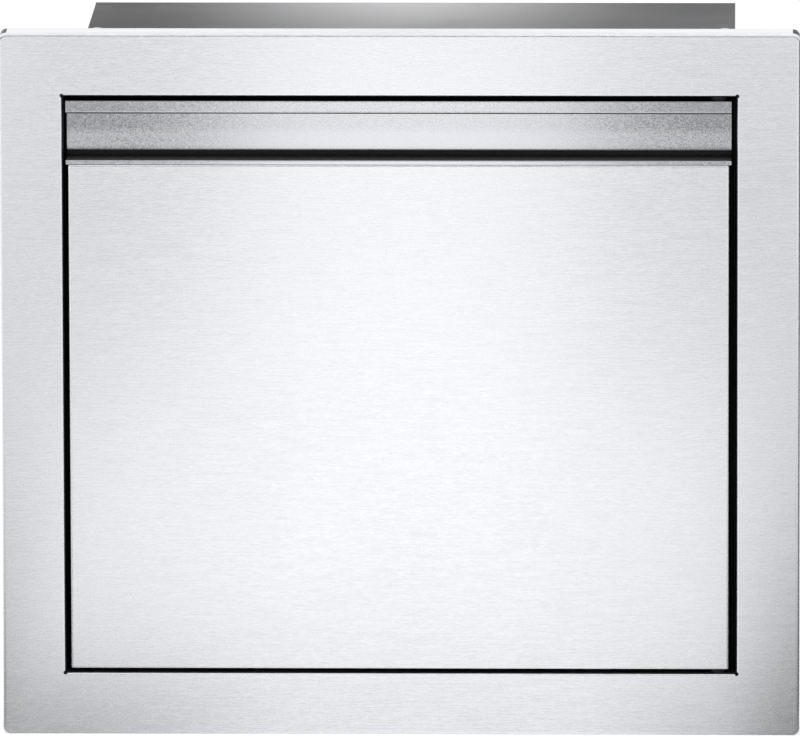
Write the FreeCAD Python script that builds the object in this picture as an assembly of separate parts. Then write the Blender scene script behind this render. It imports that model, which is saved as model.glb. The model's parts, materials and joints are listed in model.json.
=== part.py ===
# Outdoor kitchen access door: a face frame with a closed box behind it, and a flush double-wall door
# with a full-width finger grip along its top, hung on an upper and a lower pivot at its right side.
# Millimetres. X is right as seen from the front, Y goes back into the wall, Z is up. The origin is the
# middle of the frame's lower edge, in the plane where the frame's rear lip lies on the wall.
import FreeCAD
import Part
import math
import os

Vector = FreeCAD.Vector
X_AXIS, Y_AXIS, Z_AXIS = Vector(1, 0, 0), Vector(0, 1, 0), Vector(0, 0, 1)

# Face frame
FRAME_W = 457.0            # outer width
FRAME_H = 407.0            # outer height
FRAME_DEPTH = 19.0         # front face to wall
FRAME_T = 1.2              # sheet
RAIL = 36.0                # width of each rail as seen from the front
FRAME_CORNER_R = 4.5       # outer corners, seen from the front
CORNER_NOTCH = 4.5         # returns stop this far from the outer corners
FRAME_BEND_R = 2.0         # outer bends of the sheet
OPENING_BEND_R = 1.0       # bends round the opening
CORNER_RELIEF_R = 1.1      # relief holes at the corners of the opening
REAR_LIP = 10.0            # lip that lies on the wall
STOP_SETBACK = 21.5        # front face to the flange that the door closes on
STOP_W = 16.0              # width of that flange
STOP_CORNER_R = 5.0

# Box behind the frame
BOX_CLEAR = 2.0            # box stands in from the frame's opening by this much on each side
BOX_DEPTH = 355.0          # wall plane to the back of the box
BOX_T = 1.0                # sheet
BOX_BEND_R = 0.8
BOX_FLANGE = 12.0          # joining flanges
BOX_NOTCH = 14.0           # front and rear flanges stop this far from the box's corners
MOUNT_HOLE_R = 2.75        # screw holes in the box sides
MOUNT_HOLE_FRONT = 30.0    # wall plane to the front holes
MOUNT_SPACING_Y = 60.0
MOUNT_SPACING_Z = 220.0

# Door
GAP_LATCH = 3.4            # left gap between door and frame
GAP_HINGE = 4.6
GAP_TOP = 3.0
GAP_BOTTOM = 2.6
DOOR_DEPTH = 18.0
DOOR_T = 1.0               # skin
DOOR_BEND_R = 1.2
DOOR_CORNER_R = 0.8
DOOR_FLANGE = 30.0         # flanges of the skin that carry the liner
LINER_T = 1.0
LINER_INSET = 0.3          # liner stands in from the skin's edges
LINER_CORNER_R = 3.0

# Finger grip along the top of the door
GRIP_T = 1.2
GRIP_OVERHANG = 1.2        # grip is wider than the skin by this much at each end
LIP_H = 7.5
LIP_T = 2.0
LIP_FLAT = 0.3             # flat left under the lip, behind its rounded nose
GRIP_OPEN_H = 26.7         # lip to floor
GRIP_STRIP_H = 2.4         # turned-down front edge of the floor
GRIP_COVE_R = 4.0          # inside bend between back wall and floor
GRIP_BEND_R = 0.5          # outside bends
GRIP_INNER_R = 0.4         # tight inside bends

# Pivots
PIVOT_INSET = 6.0          # door's right edge to pivot axis
PIVOT_SETBACK = 6.5        # door's front to pivot axis
PIN_R = 2.5
RUN_CLEAR = 0.05           # pin in bush
SEAT_CLEAR = 0.05          # bush, rivet or screw in its hole
BUSH_WALL = 1.5
BUSH_FLANGE_R = 5.4
BUSH_FLANGE_T = 1.2        # lower bush
COLLAR_CLEAR = 0.4         # upper bush's flange to the top of the grip
LOWER_BUSH_H = 12.0        # above the door's bottom edge, with its closed end
BUSH_CAP_T = 1.5           # closed end of the lower bush
PIN_TIP_CLEAR = 0.5        # lower pin's tip to that end
HINGE_PLATE_T = 3.0
HINGE_PLATE_INNER = 20.0   # plate reaches this far left of the axis
HINGE_PLATE_OUTER = 8.0    # and this far right
HINGE_PLATE_CLEAR = 0.4    # plate to the back of the frame's front
HINGE_PLATE_D = 11.0
PIN_HEAD_R = 4.4
PIN_HEAD_H = 2.4
DOOR_PLATE_T = 2.0
DOOR_PLATE_L = 30.0
DOOR_PLATE_END_CLEAR = 0.8
NUT_FLATS = 8.0
NUT_H = 2.6
SCREW_HEAD_R = 4.2
SCREW_HEAD_H = 2.4
SCREW_SOCKET_FLATS = 3.0
SCREW_SOCKET_DEPTH = 1.4
PIN_REACH = 1.0            # upper screw reaches this far past its bush

# Magnetic catch and its strike
CATCH_EDGE_GAP = 1.5       # stop flange's inner edge to housing
CATCH_W = 14.0
CATCH_H = 32.0
CATCH_EAR = 9.0
CATCH_EAR_T = 4.0
CATCH_CORNER_R = 1.2
CATCH_FACE_CLEAR = 0.3     # pole faces to strike
POLE_PROUD = 1.0           # pole faces stand out of the housing
POLE_T = 1.2
POLE_H = 25.0
MAGNET_T = 5.0
MAGNET_SHORT = 0.8         # magnet lies back from the pole faces
POCKET_FLOOR = 3.0         # housing behind magnet and poles
ARM_Y = 14.5               # wall plane to the bracket's arm
BRACKET_T = 1.5
BRACKET_H = 56.0
BRACKET_FOOT = 26.0
BRACKET_RIVET_SPACING = 30.0
STRIKE_W = 14.0
STRIKE_H = 44.0
STRIKE_T = 1.0
STRIKE_CORNER_R = 3.0
STRIKE_RIVET_SPACING = 36.0

# Seal round the stop flange
SEAL_BASE_T = 1.2
SEAL_EDGE = 0.5            # base to the flange's inner edge
SEAL_SKIRT_T = 0.5         # skirt that lines the opening's returns
SEAL_SKIRT_SETBACK = 1.6   # frame's front to the skirt's edge
SEAL_PIVOT_CLEAR = 0.3     # skirt to the flanges of the bushes
SEAL_BULB_W = 6.0
SEAL_DOOR_CLEAR = 0.3
SEAL_SWING_CLEAR = 1.0     # bulb's ends to the path of the door's rear corner

# Fasteners
RIVET_R = 2.4
RIVET_HEAD_R = 4.7
RIVET_HEAD_H = 1.4
RIVET_TAIL_R = 3.2
RIVET_TAIL_H = 1.2
STRIKE_RIVET_HEAD_H = 0.8
LINER_SCREW_R = 1.75
LINER_SCREW_L = 6.0
LINER_SCREW_INSET = 17.0   # door's edge to screw
LINER_HEAD_R = 3.4
LINER_HEAD_H = 1.8
CROSS_W = 0.9
CROSS_L = 4.0
CROSS_DEPTH = 1.0
CATCH_SCREW_R = 1.5
CATCH_HEAD_R = 2.7
CATCH_HEAD_H = 1.6
SIDES_RIVETS = 3           # rivets along each long joint
END_RIVETS = 2             # rivets along the top and bottom of the back panel
RIVET_END_MARGIN = 45.0    # joint's end to first rivet
RIVET_REAR_MARGIN = 110.0  # box's back to the last rivet of a row that runs back

# Places worked out from the sizes
FRONT = -FRAME_DEPTH
HALF_W = FRAME_W / 2
OPEN_L, OPEN_R = -HALF_W + RAIL, HALF_W - RAIL
OPEN_B, OPEN_T = RAIL, FRAME_H - RAIL
STOP_FACE = FRONT + STOP_SETBACK
STOP_BACK = STOP_FACE + FRAME_T
STOP_L, STOP_R = OPEN_L + STOP_W, OPEN_R - STOP_W
STOP_B, STOP_TOP = OPEN_B + STOP_W, OPEN_T - STOP_W

BOX_L, BOX_R = OPEN_L + BOX_CLEAR, OPEN_R - BOX_CLEAR
BOX_B, BOX_TOP = OPEN_B + BOX_CLEAR, OPEN_T - BOX_CLEAR
FLANGE_MID = BOX_FLANGE / 2
SEAM_L, SEAM_R = BOX_L + FLANGE_MID, BOX_R - FLANGE_MID
SEAM_B, SEAM_T = BOX_B + FLANGE_MID, BOX_TOP - FLANGE_MID
FRAME_SEAM = STOP_BACK + BOX_T

DOOR_L, DOOR_R = OPEN_L + GAP_LATCH, OPEN_R - GAP_HINGE
DOOR_B, DOOR_TOP = OPEN_B + GAP_BOTTOM, OPEN_T - GAP_TOP
DOOR_BACK = FRONT + DOOR_DEPTH
LINER_FRONT = DOOR_BACK - LINER_T
GRIP_L, GRIP_R = DOOR_L - GRIP_OVERHANG, DOOR_R + GRIP_OVERHANG
LIP_BOTTOM = DOOR_TOP - LIP_H
GRIP_FLOOR = LIP_BOTTOM - GRIP_OPEN_H
SKIN_TOP = GRIP_FLOOR - GRIP_STRIP_H
GRIP_WALL = LINER_FRONT - GRIP_T

PIVOT_X, PIVOT_Y = DOOR_R - PIVOT_INSET, FRONT + PIVOT_SETBACK
BUSH_R = PIN_R + RUN_CLEAR + BUSH_WALL
LOWER_PLATE_TOP = OPEN_B - FRAME_T
UPPER_PLATE_BOTTOM = OPEN_T + FRAME_T

SCREW_L, SCREW_R = DOOR_L + LINER_SCREW_INSET, DOOR_R - LINER_SCREW_INSET
SCREW_B, SCREW_TOP = DOOR_B + LINER_SCREW_INSET, SKIN_TOP - LINER_SCREW_INSET
SCREW_STEP = (SCREW_TOP - SCREW_B) / (SIDES_RIVETS - 1)

CATCH_Z = SCREW_TOP - SCREW_STEP / 2
CATCH_X = STOP_L + CATCH_EDGE_GAP + max(CATCH_W, STRIKE_W) / 2
CATCH_L = CATCH_X - CATCH_W / 2
STRIKE_BACK = DOOR_BACK + STRIKE_T
STRIKE_GRIP = STRIKE_T + LINER_T + DOOR_T
POLE_FACE = STRIKE_BACK + CATCH_FACE_CLEAR
CATCH_FACE = POLE_FACE + POLE_PROUD
CATCH_EAR_Z = CATCH_H / 2 + CATCH_EAR / 2


def block(x0, x1, y0, y1, z0, z1):
    """A box between two corners."""
    return Part.makeBox(x1 - x0, y1 - y0, z1 - z0, Vector(x0, y0, z0))


def rod(radius, start, end):
    """A cylinder from one point to another."""
    along = end - start
    return Part.makeCylinder(radius, along.Length, start, along)


def rounded_wire(corners, place):
    """A closed outline through (u, v, radius) corners; place(u, v) puts a point in space."""
    points = [Vector(u, v, 0) for u, v, _ in corners]
    cuts = []
    for i, (_, _, radius) in enumerate(corners):
        point = points[i]
        if radius <= 0:
            cuts.append((point, point, point))
            continue
        back = (points[i - 1] - point).normalize()
        ahead = (points[(i + 1) % len(points)] - point).normalize()
        half = back.getAngle(ahead) / 2
        inward = (back + ahead).normalize()
        reach = radius / math.tan(half)
        middle = point + inward * (radius / math.sin(half) - radius)
        cuts.append((point + back * reach, middle, point + ahead * reach))
    edges = []
    for i, (start, middle, end) in enumerate(cuts):
        if (end - start).Length > 1e-7:
            arc = [place(p.x, p.y) for p in (start, middle, end)]
            edges.append(Part.Arc(*arc).toShape())
        following = cuts[(i + 1) % len(cuts)][0]
        edges.append(Part.LineSegment(place(end.x, end.y), place(following.x, following.y)).toShape())
    return Part.Wire(edges)


def slab(x0, x1, z0, z1, radius, y0, y1):
    """A plate facing the front, with rounded corners."""
    corners = [(x0, z0, radius), (x1, z0, radius), (x1, z1, radius), (x0, z1, radius)]
    wire = rounded_wire(corners, lambda u, v: Vector(u, y0, v))
    return Part.Face(wire).extrude(Vector(0, y1 - y0, 0))


def edges_where(shape, test):
    """The straight edges of a shape whose end points both pass a test."""
    straight = [e for e in shape.Edges if len(e.Vertexes) == 2 and isinstance(e.Curve, Part.Line)]
    return [e for e in straight if all(test(v.Point) for v in e.Vertexes)]


def near(a, b):
    return abs(a - b) < 1e-6


def spread(low, high, count):
    """Evenly spaced places from low to high."""
    return [low + (high - low) * i / (count - 1) for i in range(count)]


def turned(profile, start, axis):
    """A solid of revolution about an axis; profile is (radius, distance along the axis) corners."""
    side = Vector(0, 0, 1) if abs(axis.z) < 0.5 else Vector(1, 0, 0)
    points = [start + side * r + axis * d for r, d in profile]
    wire = Part.makePolygon(points + [points[0]])
    return Part.Face(wire).revolve(start, axis, 360)


def dome(radius, height, start, axis):
    """A low dome standing on a face, from a cap of a sphere."""
    ball_r = (radius ** 2 + height ** 2) / (2 * height)
    ball = Part.makeSphere(ball_r, start + axis * (height - ball_r))
    return ball.common(rod(radius * 1.5, start, start + axis * (height * 2)))


def rivet(seat, axis, grip, head_h=RIVET_HEAD_H, tail_h=RIVET_TAIL_H):
    """A rivet with its head on seat, standing along axis, its shank the other way and a tail behind."""
    solid = dome(RIVET_HEAD_R, head_h, seat, axis)
    far = seat - axis * grip
    solid = solid.fuse(rod(RIVET_R, far, seat))
    if tail_h > 0:
        solid = solid.fuse(rod(RIVET_TAIL_R, far - axis * tail_h, far))
    return solid.removeSplitter()


def drilled(shape, holes):
    """A shape with round holes; each hole is (radius, start, end)."""
    for radius, start, end in holes:
        shape = shape.cut(rod(radius, start, end))
    return shape


def hexagon(flats, start, height):
    """A hexagonal prism standing up from start, with two flats facing front and back."""
    corner_r = flats / math.sqrt(3)
    turns = [math.radians(60 * i) for i in range(6)]
    points = [start + Vector(corner_r * math.cos(a), corner_r * math.sin(a), 0) for a in turns]
    return Part.Face(Part.makePolygon(points + [points[0]])).extrude(Vector(0, 0, height))


def rivet_hole(seat, axis, grip):
    """The hole that a rivet's shank goes through."""
    return (RIVET_R + SEAT_CLEAR, seat + axis * grip, seat - axis * 2 * grip)


# Where the rivets are

def upright_row(x, y):
    """Rivets up a side seam."""
    heights = spread(BOX_B + RIVET_END_MARGIN, BOX_TOP - RIVET_END_MARGIN, SIDES_RIVETS)
    return [Vector(x, y, z) for z in heights]


def level_row(y, z, count):
    """Rivets across the box along a top or bottom seam."""
    return [Vector(x, y, z) for x in spread(BOX_L + RIVET_END_MARGIN, BOX_R - RIVET_END_MARGIN, count)]


def depth_row(x, z):
    """Rivets from front to back along an edge of the box."""
    along = spread(STOP_BACK + RIVET_END_MARGIN, BOX_DEPTH - RIVET_REAR_MARGIN, SIDES_RIVETS)
    return [Vector(x, y, z) for y in along]


def frame_rivet_rows():
    """On the back of the box's front flanges, holding them to the stop flange."""
    return {
        "frame_rivets_left": upright_row(SEAM_L, FRAME_SEAM),
        "frame_rivets_right": upright_row(SEAM_R, FRAME_SEAM),
        "frame_rivets_bottom": level_row(FRAME_SEAM, SEAM_B, SIDES_RIVETS),
        "frame_rivets_top": level_row(FRAME_SEAM, SEAM_T, SIDES_RIVETS),
    }


def top_rivet_rows():
    """On top of the box, through the side panels' upper flanges."""
    return {"top_rivets_left": depth_row(SEAM_L, BOX_TOP), "top_rivets_right": depth_row(SEAM_R, BOX_TOP)}


def bottom_rivet_rows():
    return {"bottom_rivets_left": depth_row(SEAM_L, BOX_B), "bottom_rivets_right": depth_row(SEAM_R, BOX_B)}


def back_rivet_rows():
    """On the back panel, through the rear flanges of the other four."""
    return {
        "back_rivets_left": upright_row(SEAM_L, BOX_DEPTH),
        "back_rivets_right": upright_row(SEAM_R, BOX_DEPTH),
        "back_rivets_bottom": level_row(BOX_DEPTH, SEAM_B, END_RIVETS),
        "back_rivets_top": level_row(BOX_DEPTH, SEAM_T, END_RIVETS),
    }


def places_in(rows):
    """All the places of several rows, in one list."""
    return [place for row in rows.values() for place in row]


def bracket_rivet_places():
    """On the outside of the left panel, holding the catch bracket."""
    y = ARM_Y + BRACKET_T + (BRACKET_FOOT - BRACKET_T) / 2
    half = BRACKET_RIVET_SPACING / 2
    return [Vector(BOX_L, y, CATCH_Z + dz) for dz in (-half, half)]


def mount_holes(x):
    """Screw holes through a box side, into the framing round the cut-out."""
    middle = (BOX_B + BOX_TOP) / 2
    rows = [MOUNT_HOLE_FRONT, MOUNT_HOLE_FRONT + MOUNT_SPACING_Y]
    heights = [middle - MOUNT_SPACING_Z / 2, middle + MOUNT_SPACING_Z / 2]
    reach = X_AXIS * (2 * BOX_T)
    return [(MOUNT_HOLE_R, Vector(x, y, z) - reach, Vector(x, y, z) + reach) for y in rows for z in heights]


# Frame and box

def face_frame():
    """One sheet-metal frame: front, outer returns, rear lip, returns round the opening, stop flange."""
    tray = slab(-HALF_W, HALF_W, 0, FRAME_H, FRAME_CORNER_R, FRONT, 0)
    rim = [e for e in tray.Edges if all(near(v.Y, FRONT) for v in e.Vertexes)]
    tray = tray.makeFillet(FRAME_BEND_R, rim)
    inside = slab(-HALF_W + FRAME_T, HALF_W - FRAME_T, FRAME_T, FRAME_H - FRAME_T,
                  FRAME_CORNER_R - FRAME_T, FRONT + FRAME_T, 0)
    inner_rim = [e for e in inside.Edges if all(near(v.Y, FRONT + FRAME_T) for v in e.Vertexes)]
    tray = tray.cut(inside.makeFillet(FRAME_BEND_R - FRAME_T, inner_rim))

    lip = slab(-HALF_W, HALF_W, 0, FRAME_H, FRAME_CORNER_R, -FRAME_T, 0)
    lip = lip.cut(block(-HALF_W + REAR_LIP, HALF_W - REAR_LIP, -FRAME_T, 0, REAR_LIP, FRAME_H - REAR_LIP))
    returns = block(OPEN_L - FRAME_T, OPEN_R + FRAME_T, FRONT, STOP_BACK, OPEN_B - FRAME_T, OPEN_T + FRAME_T)
    for x in (-HALF_W, HALF_W - CORNER_NOTCH):
        for z in (0, FRAME_H - CORNER_NOTCH):
            tray = tray.cut(block(x, x + CORNER_NOTCH, FRONT + FRAME_BEND_R, -FRAME_T, z, z + CORNER_NOTCH))
    frame = tray.fuse([lip, returns]).removeSplitter()
    frame = frame.cut(block(OPEN_L, OPEN_R, FRONT, STOP_FACE, OPEN_B, OPEN_T))
    frame = frame.cut(slab(STOP_L, STOP_R, STOP_B, STOP_TOP, STOP_CORNER_R, STOP_FACE, STOP_BACK))

    def on_opening(p):
        across = near(p.x, OPEN_L) or near(p.x, OPEN_R)
        upright = near(p.z, OPEN_B) or near(p.z, OPEN_T)
        return near(p.y, FRONT) and across and upright

    frame = frame.makeFillet(OPENING_BEND_R, edges_where(frame, on_opening))
    corners = [Vector(x, FRONT, z) for x in (OPEN_L, OPEN_R) for z in (OPEN_B, OPEN_T)]
    reliefs = [(CORNER_RELIEF_R, c, c + Y_AXIS * STOP_SETBACK) for c in corners]
    rivets = [rivet_hole(p, Y_AXIS, BOX_T + FRAME_T) for p in places_in(frame_rivet_rows())]
    seat_r = BUSH_R + SEAT_CLEAR
    pivots = [
        (PIN_R + SEAT_CLEAR, Vector(PIVOT_X, PIVOT_Y, LOWER_PLATE_TOP), Vector(PIVOT_X, PIVOT_Y, OPEN_B)),
        (seat_r, Vector(PIVOT_X, PIVOT_Y, OPEN_T), Vector(PIVOT_X, PIVOT_Y, UPPER_PLATE_BOTTOM)),
    ]
    return drilled(frame, reliefs + rivets + pivots)


def side_panel(outer, inward):
    """A box side with flanges on all four edges; inward is +1 for the left side and -1 for the right."""
    def across(depth):
        return sorted((outer, outer + inward * depth))

    z0, z1 = BOX_B + BOX_T, BOX_TOP - BOX_T
    y0, y1 = STOP_BACK, BOX_DEPTH - BOX_T
    panel = block(*across(BOX_T), y0, y1, z0, z1)
    wide = across(BOX_FLANGE)
    low, high = z0 + BOX_NOTCH, z1 - BOX_NOTCH
    flanges = [
        block(*wide, y0 + BOX_NOTCH, y1 - BOX_NOTCH, z0, z0 + BOX_T),
        block(*wide, y0 + BOX_NOTCH, y1 - BOX_NOTCH, z1 - BOX_T, z1),
        block(*wide, y0, y0 + BOX_T, low, high),
        block(*wide, y1 - BOX_T, y1, low, high),
    ]
    panel = panel.fuse(flanges).removeSplitter()

    def on_bend(p):
        return near(p.x, outer)

    panel = panel.makeFillet(BOX_BEND_R, edges_where(panel, on_bend))
    holes = mount_holes(outer)
    holes += [rivet_hole(p, Y_AXIS, 2 * BOX_T) for p in places_in(frame_rivet_rows())]
    holes += [rivet_hole(p, Z_AXIS, 2 * BOX_T) for p in places_in(top_rivet_rows())]
    holes += [rivet_hole(p, -Z_AXIS, 2 * BOX_T) for p in places_in(bottom_rivet_rows())]
    holes += [rivet_hole(p, Y_AXIS, 2 * BOX_T) for p in places_in(back_rivet_rows())]
    holes += [rivet_hole(p, -X_AXIS, BOX_T + BRACKET_T) for p in bracket_rivet_places()]
    return drilled(panel, holes)


def end_panel(outer, inward):
    """The top or bottom of the box, with front and rear flanges; inward is -1 for the top."""
    def across(depth):
        return sorted((outer, outer + inward * depth))

    y0, y1 = STOP_BACK, BOX_DEPTH - BOX_T
    left, right = BOX_L + BOX_NOTCH, BOX_R - BOX_NOTCH
    panel = block(BOX_L, BOX_R, y0, y1, *across(BOX_T))
    flanges = [
        block(left, right, y0, y0 + BOX_T, *across(BOX_FLANGE)),
        block(left, right, y1 - BOX_T, y1, *across(BOX_FLANGE)),
    ]
    panel = panel.fuse(flanges).removeSplitter()

    def on_bend(p):
        return near(p.z, outer) and (near(p.y, y0) or near(p.y, y1))

    panel = panel.makeFillet(BOX_BEND_R, edges_where(panel, on_bend))
    top_holes = [rivet_hole(p, Z_AXIS, 2 * BOX_T) for p in places_in(top_rivet_rows())]
    bottom_holes = [rivet_hole(p, -Z_AXIS, 2 * BOX_T) for p in places_in(bottom_rivet_rows())]
    holes = top_holes if inward < 0 else bottom_holes
    holes += [rivet_hole(p, Y_AXIS, 2 * BOX_T) for p in places_in(frame_rivet_rows())]
    holes += [rivet_hole(p, Y_AXIS, 2 * BOX_T) for p in places_in(back_rivet_rows())]
    return drilled(panel, holes)


def back_panel():
    panel = block(BOX_L, BOX_R, BOX_DEPTH - BOX_T, BOX_DEPTH, BOX_B, BOX_TOP)

    def on_edge(p):
        return near(p.y, BOX_DEPTH)

    panel = panel.makeFillet(BOX_BEND_R, edges_where(panel, on_edge))
    return drilled(panel, [rivet_hole(p, Y_AXIS, 2 * BOX_T) for p in places_in(back_rivet_rows())])


def rivet_row(places, axis, grip, tail_h=RIVET_TAIL_H):
    return Part.Compound([rivet(p, axis, grip, tail_h=tail_h) for p in places])


def seam_rivets():
    """Every seam's row by its node's name. The frame's rivets have their heads inside the box; their
    front ends are flush, under the seal."""
    grip = 2 * BOX_T
    rows = {name: rivet_row(row, Z_AXIS, grip) for name, row in top_rivet_rows().items()}
    rows.update({name: rivet_row(row, -Z_AXIS, grip) for name, row in bottom_rivet_rows().items()})
    rows.update({name: rivet_row(row, Y_AXIS, grip) for name, row in back_rivet_rows().items()})
    flush = BOX_T + FRAME_T
    rows.update({name: rivet_row(row, Y_AXIS, flush, tail_h=0) for name, row in frame_rivet_rows().items()})
    return rows


def bulb_end():
    """Where the seal's bulb stops short of the pivots: left of the path of the door's rear corner."""
    behind = DOOR_DEPTH - PIVOT_SETBACK
    swing_r = math.hypot(PIVOT_INSET, behind)
    return PIVOT_X - math.sqrt(swing_r ** 2 - (behind + SEAL_DOOR_CLEAR) ** 2) - SEAL_SWING_CLEAR


def door_seal():
    """A black rubber strip all round the opening: a base on the stop flange, a thin skirt that lines the
    returns, and a bulb along the base's inner edge on the three sides where the door closes straight
    on to it."""
    base_front = STOP_FACE - SEAL_BASE_T
    hole = (STOP_L - SEAL_EDGE, STOP_R + SEAL_EDGE, STOP_B - SEAL_EDGE, STOP_TOP + SEAL_EDGE)
    hole_r = STOP_CORNER_R + SEAL_EDGE
    base = block(OPEN_L, OPEN_R, base_front, STOP_FACE, OPEN_B, OPEN_T)
    base = base.cut(slab(*hole, hole_r, base_front, STOP_FACE))

    skirt_front = FRONT + SEAL_SKIRT_SETBACK
    skirt = block(OPEN_L, OPEN_R, skirt_front, base_front, OPEN_B, OPEN_T)
    skirt = skirt.cut(block(OPEN_L + SEAL_SKIRT_T, OPEN_R - SEAL_SKIRT_T, skirt_front, base_front,
                            OPEN_B + SEAL_SKIRT_T, OPEN_T - SEAL_SKIRT_T))
    pivot_r = BUSH_FLANGE_R + SEAL_PIVOT_CLEAR
    skirt = drilled(skirt, [(pivot_r, at_pivot(OPEN_B), at_pivot(OPEN_B + SEAL_SKIRT_T)),
                            (pivot_r, at_pivot(OPEN_T - SEAL_SKIRT_T), at_pivot(OPEN_T))])

    front = DOOR_BACK + SEAL_DOOR_CLEAR
    bulb = slab(hole[0] - SEAL_BULB_W, hole[1] + SEAL_BULB_W, hole[2] - SEAL_BULB_W, hole[3] + SEAL_BULB_W,
                hole_r + SEAL_BULB_W, front, base_front)
    bulb = bulb.cut(slab(*hole, hole_r, front, base_front))
    crown = [e for e in bulb.Edges if all(near(v.Y, front) for v in e.Vertexes)]
    bulb = bulb.makeFillet(SEAL_BASE_T, crown)
    bulb = bulb.cut(block(bulb_end(), OPEN_R, front, base_front, OPEN_B, OPEN_T))
    return base.fuse([skirt, bulb]).removeSplitter()


# Pivots

def hinge_plate(z0):
    """A stiffening plate on the hidden side of the frame's return."""
    y0 = FRONT + FRAME_T + HINGE_PLATE_CLEAR
    return block(PIVOT_X - HINGE_PLATE_INNER, PIVOT_X + HINGE_PLATE_OUTER, y0, y0 + HINGE_PLATE_D,
                 z0, z0 + HINGE_PLATE_T)


def at_pivot(z):
    return Vector(PIVOT_X, PIVOT_Y, z)


def upper_hinge_plate():
    hole = (BUSH_R + SEAT_CLEAR, at_pivot(UPPER_PLATE_BOTTOM), at_pivot(UPPER_PLATE_BOTTOM + HINGE_PLATE_T))
    return drilled(hinge_plate(UPPER_PLATE_BOTTOM), [hole])


def lower_hinge_plate():
    bottom = LOWER_PLATE_TOP - HINGE_PLATE_T
    return drilled(hinge_plate(bottom), [(PIN_R + SEAT_CLEAR, at_pivot(bottom), at_pivot(LOWER_PLATE_TOP))])


def flanged_bush(seat, length, flange_t):
    """A bush whose flange lies under seat, with its body up from seat."""
    bore = PIN_R + RUN_CLEAR
    profile = [(bore, -flange_t), (BUSH_FLANGE_R, -flange_t), (BUSH_FLANGE_R, 0),
               (BUSH_R, 0), (BUSH_R, length), (bore, length)]
    return turned(profile, seat, Z_AXIS)


def upper_pivot_bush():
    """Its flange fills the gap above the grip."""
    return flanged_bush(at_pivot(OPEN_T), FRAME_T + HINGE_PLATE_T, GAP_TOP - COLLAR_CLEAR)


def lower_pivot_bush():
    """Closed at its upper end, so that water stays out of the door."""
    bush = flanged_bush(at_pivot(DOOR_B), LOWER_BUSH_H, BUSH_FLANGE_T)
    top = DOOR_B + LOWER_BUSH_H
    return bush.fuse(rod(BUSH_R, at_pivot(top - BUSH_CAP_T), at_pivot(top))).removeSplitter()


def lower_pivot_pin():
    """A headed pin that stands up out of the frame; its head is under the hinge plate."""
    head_top = LOWER_PLATE_TOP - HINGE_PLATE_T
    pin = rod(PIN_R, at_pivot(head_top), at_pivot(DOOR_B + LOWER_BUSH_H - BUSH_CAP_T - PIN_TIP_CLEAR))
    return pin.fuse(rod(PIN_HEAD_R, at_pivot(head_top - PIN_HEAD_H), at_pivot(head_top))).removeSplitter()


def lower_thrust_washer():
    """Carries the door's weight between the frame and the lower bush."""
    height = GAP_BOTTOM - BUSH_FLANGE_T
    bore = PIN_R + RUN_CLEAR
    profile = [(bore, 0), (BUSH_FLANGE_R, 0), (BUSH_FLANGE_R, height), (bore, height)]
    return turned(profile, at_pivot(OPEN_B), Z_AXIS)


def door_pivot_plate():
    """A plate inside the door's bottom edge that the lower bush sits in."""
    right = DOOR_R - DOOR_T - DOOR_PLATE_END_CLEAR
    z0 = DOOR_B + DOOR_T
    plate = block(right - DOOR_PLATE_L, right, FRONT + DOOR_T + DOOR_PLATE_END_CLEAR,
                  LINER_FRONT - DOOR_T - DOOR_PLATE_END_CLEAR, z0, z0 + DOOR_PLATE_T)
    return drilled(plate, [(BUSH_R + SEAT_CLEAR, at_pivot(z0), at_pivot(z0 + DOOR_PLATE_T))])


def upper_pivot_nut():
    """A weld nut under the top of the finger grip, hidden by its lip."""
    bottom = DOOR_TOP - GRIP_T - NUT_H
    nut = hexagon(NUT_FLATS, at_pivot(bottom), NUT_H)
    return drilled(nut, [(PIN_R + SEAT_CLEAR, at_pivot(bottom), at_pivot(DOOR_TOP))])


def upper_pivot_screw():
    """Screwed up through the nut; its plain end turns in the frame's bush."""
    head_top = DOOR_TOP - GRIP_T - NUT_H
    head_bottom = head_top - SCREW_HEAD_H
    tip = UPPER_PLATE_BOTTOM + HINGE_PLATE_T + PIN_REACH
    screw = rod(PIN_R, at_pivot(head_top), at_pivot(tip))
    screw = screw.fuse(rod(SCREW_HEAD_R, at_pivot(head_bottom), at_pivot(head_top))).removeSplitter()
    return screw.cut(hexagon(SCREW_SOCKET_FLATS, at_pivot(head_bottom), SCREW_SOCKET_DEPTH))


# Door

def door_panel():
    """The outer skin: front, four returns, and flanges at the back that carry the liner."""
    skin = slab(DOOR_L, DOOR_R, DOOR_B, SKIN_TOP, DOOR_CORNER_R, FRONT, LINER_FRONT)
    rim = [e for e in skin.Edges if all(near(v.Y, FRONT) for v in e.Vertexes)]
    skin = skin.makeFillet(DOOR_BEND_R, [e for e in rim if isinstance(e.Curve, Part.Line)])
    hollow = block(DOOR_L + DOOR_T, DOOR_R - DOOR_T, FRONT + DOOR_T, LINER_FRONT - DOOR_T,
                   DOOR_B + DOOR_T, SKIN_TOP - DOOR_T)
    inner_rim = edges_where(hollow, lambda p: near(p.y, FRONT + DOOR_T))
    skin = skin.cut(hollow.makeFillet(DOOR_BEND_R - DOOR_T, inner_rim))
    window = slab(DOOR_L + DOOR_FLANGE, DOOR_R - DOOR_FLANGE, DOOR_B + DOOR_FLANGE, SKIN_TOP - DOOR_FLANGE,
                  LINER_CORNER_R, LINER_FRONT - DOOR_T, LINER_FRONT)
    skin = skin.cut(window)
    bush = (BUSH_R + SEAT_CLEAR, at_pivot(DOOR_B), at_pivot(DOOR_B + DOOR_T))
    return drilled(skin, [bush] + liner_screw_holes(LINER_SCREW_L) + strike_holes())


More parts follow.
